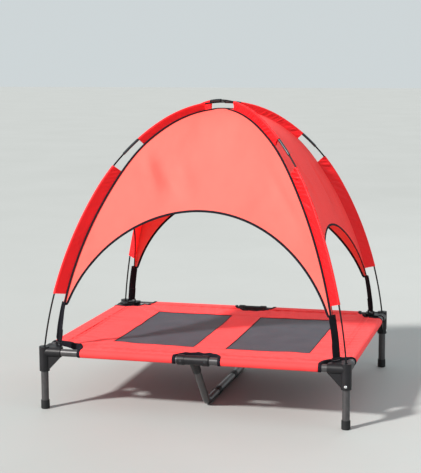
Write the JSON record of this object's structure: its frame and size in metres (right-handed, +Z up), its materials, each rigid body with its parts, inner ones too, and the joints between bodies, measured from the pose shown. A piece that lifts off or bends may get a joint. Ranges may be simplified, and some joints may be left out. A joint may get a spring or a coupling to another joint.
{
  "type": "dog bed with frame",
  "caption": "Raised sling pet bed on a steel tube frame with corner connectors, mesh panels and a lift-off arched canopy on two crossing poles.",
  "frame": {"origin": "on the floor, in the middle of the bed's footprint", "axes": "+X along the long side to the right, +Y from the front long side to the back, +Z up"},
  "size_m": [0.927, 0.779, 0.8979],
  "materials": {
    "tube_steel": "semi-gloss black powder coat",
    "moulded_plastic": "satin moulded black",
    "foot_plastic": "matt black",
    "button_steel": "polished",
    "spring_steel": "plain",
    "screw_steel": "blackened",
    "pole_rod": "smooth fibreglass",
    "ferrule_metal": "satin",
    "canopy_cloth": "thin plain weave, slightly see-through",
    "sleeve_cloth": "thin plain weave, doubled",
    "buckle_plastic": "moulded black",
    "webbing": "black webbing",
    "mesh_cloth": "open woven mesh",
    "cover_cloth": "coated plain weave",
    "binding_tape": "black folded tape"
  },
  "bodies": {
    "root": {"foot_cap_front_right": "foot_plastic", "leg_front_right": "tube_steel", "corner_connector_front_right": "moulded_plastic", "foot_cap_back_right": "foot_plastic", "leg_back_right": "tube_steel", "corner_connector_back_right": "moulded_plastic", "foot_cap_back_left": "foot_plastic", "leg_back_left": "tube_steel", "corner_connector_back_left": "moulded_plastic", "foot_cap_front_left": "foot_plastic", "leg_front_left": "tube_steel", "corner_connector_front_left": "moulded_plastic", "leg_button_springs": "spring_steel", "front_rail_left": "tube_steel", "front_rail_right": "tube_steel", "back_rail_left": "tube_steel", "back_rail_right": "tube_steel", "left_rail": "tube_steel", "right_rail": "tube_steel", "centre_tee_front": "moulded_plastic", "centre_tee_back": "moulded_plastic", "centre_tee_screws": "screw_steel", "support_leg": "tube_steel", "support_leg_glides": "foot_plastic", "mesh_panel_left": "mesh_cloth", "mesh_panel_right": "mesh_cloth", "bed_cover": "cover_cloth", "hem_pockets": "cover_cloth", "cover_binding": "binding_tape"},
    "leg_button_front_right_body": {"leg_button_front_right": "button_steel"},
    "leg_button_back_right_body": {"leg_button_back_right": "button_steel"},
    "leg_button_back_left_body": {"leg_button_back_left": "button_steel"},
    "leg_button_front_left_body": {"leg_button_front_left": "button_steel"},
    "canopy": {"outer_pole_front_lower": "pole_rod", "outer_pole_front_upper": "pole_rod", "outer_pole_back_upper": "pole_rod", "outer_pole_back_lower": "pole_rod", "outer_pole_ferrules": "ferrule_metal", "inner_pole_front_lower": "pole_rod", "inner_pole_front_upper": "pole_rod", "inner_pole_back_upper": "pole_rod", "inner_pole_back_lower": "pole_rod", "inner_pole_ferrules": "ferrule_metal", "canopy_panel_front": "canopy_cloth", "canopy_panel_right": "canopy_cloth", "canopy_panel_back": "canopy_cloth", "canopy_panel_left": "canopy_cloth", "hip_sleeve_front_right": "sleeve_cloth", "strap_buckle_front_right": "buckle_plastic", "corner_strap_front_right": "webbing", "hip_sleeve_back_right": "sleeve_cloth", "strap_buckle_back_right": "buckle_plastic", "corner_strap_back_right": "webbing", "hip_sleeve_back_left": "sleeve_cloth", "strap_buckle_back_left": "buckle_plastic", "corner_strap_back_left": "webbing", "hip_sleeve_front_left": "sleeve_cloth", "strap_buckle_front_left": "buckle_plastic", "corner_strap_front_left": "webbing"}
  },
  "joints": [
    {"name": "canopy_lift", "type": "slide", "parent": "root", "child": "canopy", "axis": [0, 0, 1], "range_m": [0, 0.15]},
    {"name": "leg_button_front_right_press", "type": "slide", "parent": "root", "child": "leg_button_front_right_body", "axis": [0, 1, 0], "range_m": [0, 0.0055], "stiffness_N_per_m": 900, "springref_m": -0.003},
    {"name": "leg_button_back_right_press", "type": "slide", "parent": "root", "child": "leg_button_back_right_body", "axis": [-1, 0, 0], "range_m": [0, 0.0055], "stiffness_N_per_m": 900, "springref_m": -0.003},
    {"name": "leg_button_back_left_press", "type": "slide", "parent": "root", "child": "leg_button_back_left_body", "axis": [0, -1, 0], "range_m": [0, 0.0055], "stiffness_N_per_m": 900, "springref_m": -0.003},
    {"name": "leg_button_front_left_press", "type": "slide", "parent": "root", "child": "leg_button_front_left_body", "axis": [1, 0, 0], "range_m": [0, 0.0055], "stiffness_N_per_m": 900, "springref_m": -0.003}
  ]
}
